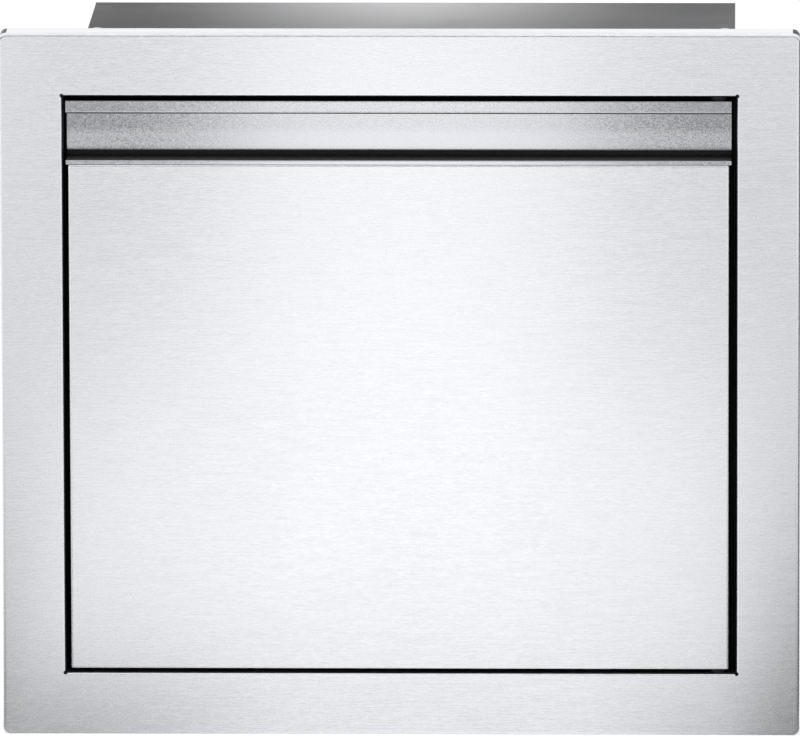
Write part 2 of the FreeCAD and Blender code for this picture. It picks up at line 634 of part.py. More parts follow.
def handle_channel():
    """The finger grip: top, lip, back wall, coved floor and a turned-down front edge, in one bent sheet."""
    outline = [
        (FRONT, LIP_BOTTOM, LIP_T - LIP_FLAT),
        (FRONT, DOOR_TOP, GRIP_BEND_R),
        (LINER_FRONT, DOOR_TOP, GRIP_BEND_R),
        (LINER_FRONT, GRIP_FLOOR - GRIP_T, GRIP_COVE_R + GRIP_T),
        (FRONT + GRIP_T, GRIP_FLOOR - GRIP_T, GRIP_INNER_R),
        (FRONT + GRIP_T, SKIN_TOP, 0),
        (FRONT, SKIN_TOP, 0),
        (FRONT, GRIP_FLOOR, GRIP_BEND_R),
        (GRIP_WALL, GRIP_FLOOR, GRIP_COVE_R),
        (GRIP_WALL, DOOR_TOP - GRIP_T, GRIP_INNER_R),
        (FRONT + LIP_T, DOOR_TOP - GRIP_T, GRIP_INNER_R),
        (FRONT + LIP_T, LIP_BOTTOM, 0),
    ]
    wire = rounded_wire(outline, lambda u, v: Vector(GRIP_L, u, v))
    channel = Part.Face(wire).extrude(Vector(GRIP_R - GRIP_L, 0, 0))
    return drilled(channel, [(PIN_R + SEAT_CLEAR, at_pivot(DOOR_TOP - GRIP_T), at_pivot(DOOR_TOP))])


def door_liner():
    liner = slab(DOOR_L + LINER_INSET, DOOR_R - LINER_INSET, DOOR_B + LINER_INSET, DOOR_TOP - LINER_INSET,
                 LINER_CORNER_R, LINER_FRONT, DOOR_BACK)
    return drilled(liner, liner_screw_holes(LINER_T) + strike_holes())


def liner_screw_rows():
    """On the back of the liner, over the skin's flanges."""
    heights = spread(SCREW_B, SCREW_TOP, SIDES_RIVETS)
    middle = (SCREW_L + SCREW_R) / 2
    return {
        "liner_screws_left": [Vector(SCREW_L, DOOR_BACK, z) for z in heights],
        "liner_screws_right": [Vector(SCREW_R, DOOR_BACK, z) for z in heights],
        "liner_screws_middle": [Vector(middle, DOOR_BACK, z) for z in (SCREW_B, SCREW_TOP)],
    }


def liner_screw_holes(depth):
    """Holes for the liner's screws, forwards from the liner's back."""
    radius = LINER_SCREW_R + SEAT_CLEAR
    return [(radius, p - Y_AXIS * depth, p) for p in places_in(liner_screw_rows())]


def pan_screw(seat, axis, radius, head_r, head_h, length):
    """A pan-head screw with a cross recess; the head stands on seat along axis."""
    screw = dome(head_r, head_h, seat, axis).fuse(rod(radius, seat - axis * length, seat)).removeSplitter()
    top = seat + axis * head_h
    for long_x, long_z in ((CROSS_L, CROSS_W), (CROSS_W, CROSS_L)):
        y0, y1 = sorted((top.y, top.y - axis.y * CROSS_DEPTH))
        screw = screw.cut(block(top.x - long_x / 2, top.x + long_x / 2, y0, y1,
                                top.z - long_z / 2, top.z + long_z / 2))
    return screw


def liner_screw(seat):
    return pan_screw(seat, Y_AXIS, LINER_SCREW_R, LINER_HEAD_R, LINER_HEAD_H, LINER_SCREW_L)


def liner_screws():
    return {name: Part.Compound([liner_screw(p) for p in row]) for name, row in liner_screw_rows().items()}


def strike_rivet_places():
    half = STRIKE_RIVET_SPACING / 2
    return [Vector(CATCH_X, STRIKE_BACK, CATCH_Z + dz) for dz in (-half, half)]


def strike_holes():
    """Through the strike, the liner and the skin's flange."""
    far = Y_AXIS * (STRIKE_GRIP + RIVET_TAIL_H)
    return [(RIVET_R + SEAT_CLEAR, p, p - far) for p in strike_rivet_places()]


def strike_plate():
    """The steel plate on the liner that the magnet holds."""
    half_w, half_h = STRIKE_W / 2, STRIKE_H / 2
    plate = slab(CATCH_X - half_w, CATCH_X + half_w, CATCH_Z - half_h, CATCH_Z + half_h,
                 STRIKE_CORNER_R, DOOR_BACK, STRIKE_BACK)
    return drilled(plate, strike_holes())


def strike_rivets():
    return Part.Compound([rivet(p, Y_AXIS, STRIKE_GRIP, STRIKE_RIVET_HEAD_H) for p in strike_rivet_places()])


# Magnetic catch

def catch_ear_holes(y0, y1):
    return [(CATCH_SCREW_R + SEAT_CLEAR, Vector(CATCH_X, y0, CATCH_Z + dz), Vector(CATCH_X, y1, CATCH_Z + dz))
            for dz in (-CATCH_EAR_Z, CATCH_EAR_Z)]


def pocket(half_w, half_h, y0, y1):
    """A block centred on the catch, for the housing's pocket and what fills it."""
    return block(CATCH_X - half_w, CATCH_X + half_w, y0, y1, CATCH_Z - half_h, CATCH_Z + half_h)


def catch_housing():
    """A moulded body with a pocket for the magnet and an ear with a screw hole at each end."""
    x0, x1 = CATCH_L, CATCH_L + CATCH_W
    body = slab(x0, x1, CATCH_Z - CATCH_H / 2, CATCH_Z + CATCH_H / 2, CATCH_CORNER_R, CATCH_FACE, ARM_Y)
    reach = CATCH_H / 2 + CATCH_EAR
    ears = slab(x0, x1, CATCH_Z - reach, CATCH_Z + reach, CATCH_CORNER_R, ARM_Y - CATCH_EAR_T, ARM_Y)
    housing = body.fuse(ears).removeSplitter()
    housing = housing.cut(pocket(MAGNET_T / 2 + POLE_T, POLE_H / 2, CATCH_FACE, ARM_Y - POCKET_FLOOR))
    return drilled(housing, catch_ear_holes(ARM_Y - CATCH_EAR_T, ARM_Y))


def catch_magnet():
    return pocket(MAGNET_T / 2, POLE_H / 2, POLE_FACE + MAGNET_SHORT, ARM_Y - POCKET_FLOOR)


def catch_pole_plates():
    """Two steel plates, one on each side of the magnet, that touch the strike."""
    z0, z1 = CATCH_Z - POLE_H / 2, CATCH_Z + POLE_H / 2
    inner = [CATCH_X - MAGNET_T / 2 - POLE_T, CATCH_X + MAGNET_T / 2]
    return Part.Compound([block(x, x + POLE_T, POLE_FACE, ARM_Y - POCKET_FLOOR, z0, z1) for x in inner])


def catch_bracket():
    """A bent bracket riveted to the left panel; its arm carries the catch beside the opening."""
    x0 = BOX_L + BOX_T
    z0, z1 = CATCH_Z - BRACKET_H / 2, CATCH_Z + BRACKET_H / 2
    foot = block(x0, x0 + BRACKET_T, ARM_Y, ARM_Y + BRACKET_FOOT, z0, z1)
    arm = block(x0, CATCH_L + CATCH_W, ARM_Y, ARM_Y + BRACKET_T, z0, z1)
    bracket = foot.fuse(arm).removeSplitter()
    bend = edges_where(bracket, lambda p: near(p.x, x0) and near(p.y, ARM_Y))
    bracket = bracket.makeFillet(BRACKET_T, bend)
    holes = catch_ear_holes(ARM_Y, ARM_Y + BRACKET_T)
    holes += [rivet_hole(p, -X_AXIS, BOX_T + BRACKET_T) for p in bracket_rivet_places()]
    return drilled(bracket, holes)


def catch_bracket_rivets():
    return Part.Compound([rivet(p, -X_AXIS, BOX_T + BRACKET_T) for p in bracket_rivet_places()])


def catch_screws():
    """Hold the housing's ears to the bracket, from the front."""
    seats = [Vector(CATCH_X, ARM_Y - CATCH_EAR_T, CATCH_Z + dz) for dz in (-CATCH_EAR_Z, CATCH_EAR_Z)]
    length = CATCH_EAR_T + BRACKET_T + RIVET_TAIL_H
    return Part.Compound([pan_screw(p, -Y_AXIS, CATCH_SCREW_R, CATCH_HEAD_R, CATCH_HEAD_H, length)
                          for p in seats])


def pieces():
    """Every piece by its node's name."""
    return {
        "face_frame": face_frame(),
        "left_side_panel": side_panel(BOX_L, 1),
        "right_side_panel": side_panel(BOX_R, -1),
        "top_panel": end_panel(BOX_TOP, -1),
        "bottom_panel": end_panel(BOX_B, 1),
        "back_panel": back_panel(),
        **seam_rivets(),
        "door_seal": door_seal(),
        "upper_hinge_plate": upper_hinge_plate(),
        "lower_hinge_plate": lower_hinge_plate(),
        "upper_pivot_bush": upper_pivot_bush(),
        "lower_pivot_pin": lower_pivot_pin(),
        "lower_thrust_washer": lower_thrust_washer(),
        "catch_bracket": catch_bracket(),
        "catch_bracket_rivets": catch_bracket_rivets(),
        "catch_housing": catch_housing(),
        "catch_magnet": catch_magnet(),
        "catch_pole_plates": catch_pole_plates(),
        "catch_screws": catch_screws(),
        "door_panel": door_panel(),
        "handle_channel": handle_channel(),
        "door_liner": door_liner(),
        **liner_screws(),
        "strike_plate": strike_plate(),
        "strike_rivets": strike_rivets(),
        "lower_pivot_bush": lower_pivot_bush(),
        "door_pivot_plate": door_pivot_plate(),
        "upper_pivot_nut": upper_pivot_nut(),
        "upper_pivot_screw": upper_pivot_screw(),
    }


def main():
    os.makedirs("parts", exist_ok=True)
    for name, shape in pieces().items():
        shape.exportStep(f"parts/{name}.step")
        state = "valid" if shape.isValid() else "NOT VALID"
        print(f"{name}: {len(shape.Solids)} solids, {shape.Volume / 1000:.2f} cm3, {state}")


main()
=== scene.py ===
# %% [markdown]
# An access door for an outdoor kitchen: a stainless face frame, a flush door with a finger grip along
# its top, and a closed sheet-metal box behind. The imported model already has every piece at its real
# size, so this lesson keeps the shapes, models only the rubber seal anew, and adds the finishes, soft
# studio light and the camera. We start by loading the model and keeping its box, because the dressed
# object must not grow out of it.

# %% Load the model
import json
import math

import bpy
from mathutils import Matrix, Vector


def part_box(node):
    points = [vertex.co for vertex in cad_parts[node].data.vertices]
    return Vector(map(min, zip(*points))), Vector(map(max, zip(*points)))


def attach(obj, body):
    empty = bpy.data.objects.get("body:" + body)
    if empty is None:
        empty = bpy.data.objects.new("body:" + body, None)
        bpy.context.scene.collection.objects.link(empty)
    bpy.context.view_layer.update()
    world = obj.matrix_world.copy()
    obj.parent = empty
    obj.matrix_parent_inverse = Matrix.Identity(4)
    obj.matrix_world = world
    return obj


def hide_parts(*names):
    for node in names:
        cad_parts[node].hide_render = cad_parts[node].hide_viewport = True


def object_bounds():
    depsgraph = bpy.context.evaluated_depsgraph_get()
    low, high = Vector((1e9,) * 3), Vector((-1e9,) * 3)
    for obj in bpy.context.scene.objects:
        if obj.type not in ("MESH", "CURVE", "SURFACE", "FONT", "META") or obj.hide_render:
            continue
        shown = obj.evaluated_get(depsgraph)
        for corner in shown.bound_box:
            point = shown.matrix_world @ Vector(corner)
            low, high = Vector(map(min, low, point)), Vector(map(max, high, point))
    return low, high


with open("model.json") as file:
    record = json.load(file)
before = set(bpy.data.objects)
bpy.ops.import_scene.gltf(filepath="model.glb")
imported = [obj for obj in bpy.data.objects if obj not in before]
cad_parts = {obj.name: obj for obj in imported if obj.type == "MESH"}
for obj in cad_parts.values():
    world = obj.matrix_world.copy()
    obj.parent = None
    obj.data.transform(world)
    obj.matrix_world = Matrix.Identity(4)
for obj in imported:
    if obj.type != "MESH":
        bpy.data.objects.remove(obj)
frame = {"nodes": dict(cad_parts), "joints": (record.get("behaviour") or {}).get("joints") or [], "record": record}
cad_low, cad_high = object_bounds()
frame_low, frame_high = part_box("face_frame")
MM = 0.001
print("box in mm", [round(v / MM, 1) for v in cad_high - cad_low])

# %% [markdown]
# Finishes are node networks. Writing them node by node hides the idea, so two small classes let us
# write them as sums. A Wire is a socket that can be added, multiplied and so on. A Finish owns the
# network and has one method that adds any node: its type, its settings, then its sockets.

# %% Wires and finishes
COOL_RED = 0.3               # how far red falls for each step that blue rises


class Wire:
    """An output socket; arithmetic on wires adds Math nodes."""

    def __init__(self, finish, socket):
        self.finish = finish
        self.socket = socket

    def math(self, operation, first, second=0.0):
        return self.finish.add("ShaderNodeMath", {"operation": operation}, {0: first, 1: second})

    def __add__(self, other):
        return self.math("ADD", self, other)

    def __radd__(self, other):
        return self.math("ADD", other, self)

    def __sub__(self, other):
        return self.math("SUBTRACT", self, other)

    def __rsub__(self, other):
        return self.math("SUBTRACT", other, self)

    def __mul__(self, other):
        return self.math("MULTIPLY", self, other)

    def __rmul__(self, other):
        return self.math("MULTIPLY", other, self)

    def __abs__(self):
        return self.math("ABSOLUTE", self)

    def __gt__(self, other):
        return self.math("GREATER_THAN", self, other)


class Finish:
    """The node network of a material, a lamp or the world."""

    def __init__(self, owner):
        owner.use_nodes = True
        self.tree = owner.node_tree
        self.tree.nodes.clear()

    def add(self, kind, settings=None, sockets=None, output=0):
        """Adds a node: its settings first, then its sockets' values or wires. Returns one output."""
        node = self.tree.nodes.new(kind)
        for name, value in (settings or {}).items():
            setattr(node, name, value)
        for name, value in (sockets or {}).items():
            if isinstance(value, Wire):
                self.tree.links.new(value.socket, node.inputs[name])
            else:
                node.inputs[name].default_value = value
        return Wire(self, node.outputs[output]) if node.outputs else None

    def blend(self, factor, first, second):
        """A colour between two colours."""
        return self.add("ShaderNodeMix", {"data_type": "RGBA"}, {0: factor, 6: first, 7: second}, 2)

    def shades(self, factor, dark, pale, blue=0.0):
        """A nearly neutral colour between a dark and a pale one."""
        return self.blend(factor, gray(dark, blue), gray(pale, blue))

    def between(self, value, low, high, to_low=0.0, to_high=1.0):
        """Stretches a value from one range to another with soft ends, held beyond them."""
        sockets = {0: value, 1: low, 2: high, 3: to_low, 4: to_high}
        return self.add("ShaderNodeMapRange", {"interpolation_type": "SMOOTHSTEP"}, sockets)

    def place(self):
        """Where a point is on its piece; it turns with the piece."""
        return self.add("ShaderNodeTexCoord", {}, {}, "Object")

    def facing(self):
        """Which way a point's face looks; it turns with the piece."""
        return self.add("ShaderNodeTexCoord", {}, {}, "Normal")

    def along(self, axis, vector=None):
        """One axis of a vector, or of the point's place."""
        return self.add("ShaderNodeSeparateXYZ", {}, {0: vector or self.place()}, axis)

    def scaled(self, vector, factors):
        return self.add("ShaderNodeVectorMath", {"operation": "MULTIPLY"}, {0: vector, 1: factors})

    def noise(self, vector, scale, detail=2.0, roughness=0.5):
        """Noise from 0 to 1, mostly near a half; scale counts its patches to a metre."""
        sockets = {"Vector": vector, "Scale": scale, "Detail": detail, "Roughness": roughness}
        return self.add("ShaderNodeTexNoise", {}, sockets, "Fac")

    def stronger(self, noise, reach):
        """More contrast: what lies within reach of a half fills the range from 0 to 1."""
        return self.between(noise, 0.5 - reach, 0.5 + reach)

    def bump(self, height, distance, strength):
        sockets = {"Height": height, "Distance": distance, "Strength": strength}
        return self.add("ShaderNodeBump", {}, sockets)

    def surface(self, shader):
        self.add("ShaderNodeOutputMaterial", {}, {"Surface": shader})

    def principled(self, sockets):
        self.surface(self.add("ShaderNodeBsdfPrincipled", {}, sockets))


def new_material(name):
    material = bpy.data.materials.new(name)
    return material, Finish(material)


def gray(value, blue=0.0):
    """A nearly neutral colour, a little cooler as blue grows."""
    return (value - COOL_RED * blue, value, value + blue, 1.0)


print("wire operators ready")

# %% [markdown]
# The photograph was taken from just above the frame's top and a touch to the right. A long lens from
# far away keeps the frame's edges parallel, as they are in the photograph, without a large lens shift
# that would push the object out of other views.

# %% Camera
IMAGE_W = 800
IMAGE_H = 743
SENSOR = 36 * MM
CAMERA_FAR = 8.0
CAMERA_CLIP = 200.0
CAMERA_ELEVATION = math.radians(10.0)
CAMERA_AZIMUTH = math.radians(1.5)
CAMERA_ROLL = math.radians(-0.16)
FRAME_CENTRE_PX = 386        # height of the middle of the frame's face in the picture

face_w = frame_high.x - frame_low.x
face_centre = Vector((0, frame_low.y, (frame_low.z + frame_high.z) / 2))
pixel = face_w / IMAGE_W
aim = face_centre + Vector((0, 0, (FRAME_CENTRE_PX - IMAGE_H / 2) * pixel))
level = math.cos(CAMERA_ELEVATION)
toward_camera = Vector((math.sin(CAMERA_AZIMUTH) * level, -math.cos(CAMERA_AZIMUTH) * level,
                        math.sin(CAMERA_ELEVATION)))
camera_data = bpy.data.cameras.new("camera")
camera = bpy.data.objects.new("camera", camera_data)
bpy.context.scene.collection.objects.link(camera)
camera.location = aim + toward_camera * CAMERA_FAR
camera.rotation_euler = (-toward_camera).to_track_quat("-Z", "Y").to_euler()
camera.rotation_euler.rotate_axis("Z", CAMERA_ROLL)
camera_data.sensor_width = SENSOR / MM
camera_data.lens = SENSOR * CAMERA_FAR / face_w / MM
camera_data.clip_end = CAMERA_CLIP
bpy.context.scene.camera = camera
bpy.context.scene.view_settings.view_transform = "Standard"
print("lens", round(camera_data.lens), "mm, camera at", [round(v, 2) for v in camera.location])

# %% [markdown]
# The studio is white with a dark end behind the camera. Polished sheet shows what stands around it,
# so the white floor in front makes the door bright, and the dark end shows in the finger grip. Rays
# that come from the camera, a gloss or a glass see full white. Rays that light matt surfaces get less.

# %% World
SKY_LIGHT = 0.65
DARK_END = 0.05
DARK_FOOT = (0.0, 0.06)      # looking up from the floor, the dark end begins here,
DARK_HEAD = (0.45, 0.30)     # and fades out here
DARK_SIDE = (-0.2, -0.6)     # turning towards the camera, it begins here


def shows_white(finish):
    """One for rays from the camera, a gloss or a glass."""
    shown = 0.0
    for kind in ("Is Camera Ray", "Is Glossy Ray", "Is Transmission Ray"):
        shown = finish.add("ShaderNodeLightPath", {}, {}, kind) + shown
    return finish.between(shown, 0.0, 1.0)


def studio_world():
    world = bpy.data.worlds.new("studio")
    bpy.context.scene.world = world
    finish = Finish(world)
    look = finish.add("ShaderNodeTexCoord", {}, {}, "Generated")
    up = finish.along("Z", look)
    low_down = finish.between(up, *DARK_FOOT) * finish.between(up, *DARK_HEAD)
    toward_dark = finish.between(finish.along("Y", look), *DARK_SIDE) * low_down
    glossy = finish.add("ShaderNodeLightPath", {}, {}, "Is Glossy Ray")
    white = finish.shades(shows_white(finish), SKY_LIGHT, 1.0)
    colour = finish.blend(glossy * toward_dark, white, gray(DARK_END))
    background = finish.add("ShaderNodeBackground", {}, {"Color": colour})
    finish.add("ShaderNodeOutputWorld", {}, {"Surface": background})


studio_world()
print("sky gives matt surfaces", SKY_LIGHT, "of white")

# %% [markdown]
# The floor is a large white disc at the frame's foot. A matt disc alone would look gray, because it
# gets less light than the sky shows, so it also glows a little for the rays that should see white. The
# glow is added to the matt shader, which still takes the object's shadow.

# %% Floor
FLOOR_WHITE = 0.75
FLOOR_GLOW = 0.58
FLOOR_RADIUS = 60.0
FLOOR_SIDES = 96


def studio_floor():
    bpy.ops.mesh.primitive_circle_add(vertices=FLOOR_SIDES, radius=FLOOR_RADIUS, fill_type="NGON",
                                      location=(0, 0, cad_low.z))
    floor = bpy.context.object
    floor.name = "floor"
    material, finish = new_material("white_floor")
    matt = finish.add("ShaderNodeBsdfDiffuse", {}, {"Color": gray(FLOOR_WHITE)})
    glow_colour = finish.shades(shows_white(finish), 0.0, FLOOR_GLOW)
    glow = finish.add("ShaderNodeEmission", {}, {"Color": glow_colour})
    finish.surface(finish.add("ShaderNodeAddShader", {}, {0: matt, 1: glow}))
    floor.data.materials.append(material)


studio_floor()
print("white floor at", round(cad_low.z / MM, 1), "mm")

# %% [markdown]
# Two soft lamps help the white studio. One overhead draws the soft shadow on the floor. Gloss doesn't
# see it, because its disc would burn out in the polished sheet. The other is a slim lamp close behind
# the box, a little above its top, which makes the middle of the top brighter and fades towards its
# ends. It lights the top panel alone, or the back panel would get a hot spot.

# %% Lamps
BACK_AT, BACK_AIM = (-0.01, 0.46, 0.386), (-0.01, 0.3, 0.372)
BACK_W, BACK_H, BACK_POWER, BACK_SPREAD = 0.36, 0.016, 0.018, 60
OVERHEAD_AT, OVERHEAD_AIM = (-0.6, -0.3, 2.2), (0.0, 0.1, 0.2)
OVERHEAD_SIZE, OVERHEAD_POWER, OVERHEAD_SPREAD = 1.2, 5.0, 180
LAMP_MIDDLE = 0.5            # a lamp's own scale runs from 0 at one end to 1 at the other


def soft_lamp(name, place, target, width, height, power, spread):
    """An oval lamp that the camera doesn't see; its spread is in degrees."""
    data = bpy.data.lights.new(name, "AREA")
    data.shape = "ELLIPSE"
    data.size = width
    data.size_y = height
    data.energy = power
    data.spread = math.radians(spread)
    lamp = bpy.data.objects.new(name, data)
    bpy.context.scene.collection.objects.link(lamp)
    lamp.location = place
    lamp.rotation_euler = (Vector(target) - Vector(place)).to_track_quat("-Z", "Y").to_euler()
    lamp.visible_camera = False
    return lamp


def fade_sideways(lamp):
    """Lets a lamp's light fall off from its middle to both ends."""
    finish = Finish(lamp.data)
    across = finish.along("X", finish.add("ShaderNodeNewGeometry", {}, {}, "Parametric"))
    outward = finish.between(abs(across - LAMP_MIDDLE), 0.0, LAMP_MIDDLE)
    colour = finish.blend(outward, gray(1.0), gray(0.0))
    light = finish.add("ShaderNodeEmission", {}, {"Color": colour})
    finish.add("ShaderNodeOutputLight", {}, {"Surface": light})


back_lamp = soft_lamp("back_lamp", BACK_AT, BACK_AIM, BACK_W, BACK_H, BACK_POWER, BACK_SPREAD)
fade_sideways(back_lamp)
lit_by_back_lamp = bpy.data.collections.new("lit_by_back_lamp")
lit_by_back_lamp.objects.link(frame["nodes"]["top_panel"])
back_lamp.light_linking.receiver_collection = lit_by_back_lamp
overhead = soft_lamp("overhead", OVERHEAD_AT, OVERHEAD_AIM, OVERHEAD_SIZE, OVERHEAD_SIZE,
                     OVERHEAD_POWER, OVERHEAD_SPREAD)
overhead.visible_glossy = False

# %% [markdown]
# Photographers shape shiny things with cards that only show as reflections. A lamp could do that too,
# but it would also light the matt parts, so each card is one glowing face that only glossy rays see.
# The first stands low in front of the door, bright in its middle and gray towards its ends. Brushed
# steel spreads its reflection up and down, so it becomes the pale upright band on the door, and the
# smoother grip shows it with more contrast.

# %% Light panel
PANEL_AWAY = 0.85
PANEL_LOW, PANEL_HIGH = 0.10, 0.34
PANEL_HALF = 0.34
PANEL_EDGE = 0.04            # height of its soft lower and upper edges
PANEL_SOLID = 0.6            # share of its half width before its ends fade
BAND_X = -0.018
BAND_FLAT, BAND_END = 0.08, 0.175
BAND_LIGHT, WING_LIGHT = 1.44, 0.18
WING_LOW, WING_HIGH = 0.15, 0.25


def reflection_card(name, corners):
    """A flat card that only reflections see."""
    mesh = bpy.data.meshes.new(name)
    mesh.from_pydata(corners, [], [(0, 1, 2, 3)])
    card = bpy.data.objects.new(name, mesh)
    bpy.context.scene.collection.objects.link(card)
    for light_path in ("camera", "diffuse", "transmission", "shadow", "volume_scatter"):
        setattr(card, "visible_" + light_path, False)
    material, finish = new_material(name)
    mesh.materials.append(material)
    return finish


def card_surface(finish, cover, colour):
    """A glow where the cover is one, clear where it is zero."""
    clear = finish.add("ShaderNodeBsdfTransparent")
    light = finish.add("ShaderNodeEmission", {}, {"Color": colour})
    finish.surface(finish.add("ShaderNodeMixShader", {}, {0: cover, 1: clear, 2: light}))


def light_panel():
    corners = [(-PANEL_HALF, -PANEL_AWAY, PANEL_LOW), (PANEL_HALF, -PANEL_AWAY, PANEL_LOW),
               (PANEL_HALF, -PANEL_AWAY, PANEL_HIGH), (-PANEL_HALF, -PANEL_AWAY, PANEL_HIGH)]
    finish = reflection_card("light_panel", corners)
    across = finish.along("X")
    up = finish.along("Z")
    sides = finish.between(abs(across), PANEL_HALF, PANEL_SOLID * PANEL_HALF)
    from_middle = finish.between(abs(across - BAND_X), BAND_FLAT, BAND_END)
    low = PANEL_LOW + from_middle * (WING_LOW - PANEL_LOW)
    high = PANEL_HIGH - from_middle * (PANEL_HIGH - WING_HIGH)
    foot = finish.between(up - low, 0.0, PANEL_EDGE)
    head = finish.between(high - up, 0.0, PANEL_EDGE)
    colour = finish.blend(from_middle, gray(BAND_LIGHT), gray(WING_LIGHT))
    card_surface(finish, sides * foot * head, colour)


light_panel()
print("light panel", PANEL_AWAY, "m in front")

# %% [markdown]
# A second card lies on the floor and is dark gray, so that the frame's foot and its stiles reflect less
# white. It is darkest close to the frame, with a weaker middle, and further out it covers only the two
# flanks. A darker floor would do the same, but it would show.

# %% Floor shade
SHADE_FAR, SHADE_UNDER = 1.15, 0.02
SHADE_HALF = 0.7
SHADE_SOLID = 0.5            # share of its half width before its ends fade
SHADE_LIFT = 0.2 * MM        # keeps it clear of the floor
SHADE_LIGHT = 0.15
FOOT_X = 0.02
FOOT_FLAT, FOOT_END, FOOT_DARK = 0.08, 0.30, 0.60     # dark to here, clear from here, how dark
FOOT_IN, FOOT_OUT, FOOT_MIDDLE = 0.06, 0.24, 0.25     # how much of that its middle keeps
FLANK_X = -0.016
FLANK_IN, FLANK_OUT, FLANK_NEAR, FLANK_DARK = 0.19, 0.26, 0.4, 0.74


def floor_shade():
    """Dark before the bottom rail, less so before its middle, and dark out on both flanks."""
    z = cad_low.z + SHADE_LIFT
    front, back = frame_low.y - SHADE_FAR, frame_low.y + SHADE_UNDER
    corners = [(-SHADE_HALF, front, z), (SHADE_HALF, front, z),
               (SHADE_HALF, back, z), (-SHADE_HALF, back, z)]
    finish = reflection_card("floor_shade", corners)
    away = frame_low.y - finish.along("Y")
    across = finish.along("X")
    out = abs(across - FLANK_X)
    foot = finish.between(away, FOOT_END, FOOT_FLAT, 0.0, FOOT_DARK)
    foot = foot * finish.between(abs(across - FOOT_X), FOOT_IN, FOOT_OUT, FOOT_MIDDLE, 1.0)
    flank = finish.between(away, SHADE_FAR, FLANK_NEAR, 0.0, FLANK_DARK)
    flank = flank * finish.between(out, FLANK_IN, FLANK_OUT)
    cover = 1.0 - (1.0 - foot) * (1.0 - flank)
    sides = finish.between(out, SHADE_HALF, SHADE_SOLID * SHADE_HALF)
    card_surface(finish, cover * sides, gray(SHADE_LIGHT))


floor_shade()
print("shade on the floor to", SHADE_FAR, "m")

# %% [markdown]
# The last card is a small black flag close beside the frame, whose rounded right edge reflects it as a
# dark line. A line painted on the edge would stay where it is when the view turns. This one moves as a
# reflection should.

# %% Side flag
FLAG_AWAY, FLAG_FRONT, FLAG_BACK = 0.05, 0.03, 0.05
FLAG_COVER, FLAG_LIGHT = 0.9, 0.05


def side_flag():
    x = frame_high.x + FLAG_AWAY
    front, back = frame_low.y - FLAG_FRONT, frame_low.y + FLAG_BACK
    low, high = cad_low.z, frame_high.z
    corners = [(x, front, low), (x, back, low), (x, back, high), (x, front, high)]
    finish = reflection_card("side_flag", corners)
    card_surface(finish, FLAG_COVER, gray(FLAG_LIGHT))


side_flag()
print("black flag", round(FLAG_AWAY / MM), "mm beside the frame")

# %% [markdown]
# The frame and the door's skin are stainless sheet brushed along its width. Each belt stroke leaves a
# short scratch, so the finish is noise drawn out along the stroke and thin across it. On faces bent to
# the side the strokes run front to back, so the stretch swaps there. The scratches tint the colour a
# little, change the roughness and raise a bump of a few microns. Only the face is brushed, so the
# sheet's back keeps the duller finish of the mill.

# %% Brushed steel
STROKE_LENGTH = 5.0 * MM
STROKE_WIDTH = 0.35 * MM
STROKE_DEPTH = 0.01 * MM
BROAD_LENGTH = 30.0 * MM
BROAD_WIDTH = 1.05 * MM
FACE_CLOUDS = 14.0
FACE_SHADES = (0.78, 0.97, 0.028)      # the darkest and the palest, and how blue
BACK_SHADES = (0.40, 0.56, 0.010)
FACE_ROUGH, FACE_ROUGH_RANGE = 0.27, 0.25
BACK_ROUGHER = 0.1
FACE_STRETCH = 0.7           # how far the strokes draw a reflection out
STRETCH_TURN = 0.25          # a quarter turn, so that it is drawn out up and down
SIDEWAYS = 0.7               # a face that looks this far sideways is brushed front to back
REARWARD = (0.2, 0.6)        # a face that looks this far back is unbrushed


def strokes(finish, length, width, detail=3.0):
    """Noise drawn out along X, or along Y on faces that look sideways."""
    sideways = abs(finish.along("X", finish.facing())) > SIDEWAYS
    thin, long = 1 / width, 1 / length
    stretch = finish.blend(sideways, (long, thin, thin, 1.0), (thin, long, thin, 1.0))
    return finish.noise(finish.scaled(finish.place(), stretch), 1.0, detail)


def brushed_steel(name):
    material, finish = new_material(name)
    fine = strokes(finish, STROKE_LENGTH, STROKE_WIDTH)
    broad = strokes(finish, BROAD_LENGTH, BROAD_WIDTH, detail=2.0)
    cloud = finish.noise(finish.place(), FACE_CLOUDS)
    grain = fine * 0.6 + broad * 0.3 + cloud * 0.1
    face = finish.shades(finish.stronger(grain, reach=0.2), *FACE_SHADES)
    mill = finish.shades(cloud, *BACK_SHADES)
    rear = finish.between(finish.along("Y", finish.facing()), *REARWARD)
    finish.principled({
        "Base Color": finish.blend(rear, face, mill),
        "Metallic": 1.0,
        "Roughness": FACE_ROUGH + (grain - 0.5) * FACE_ROUGH_RANGE + rear * BACK_ROUGHER,
        "Anisotropic": FACE_STRETCH,
        "Anisotropic Rotation": STRETCH_TURN,
        "Normal": finish.bump(fine, STROKE_DEPTH, strength=0.6),
    })
    return material


print("brushed steel strokes", STROKE_LENGTH / MM, "by", STROKE_WIDTH / MM, "mm")
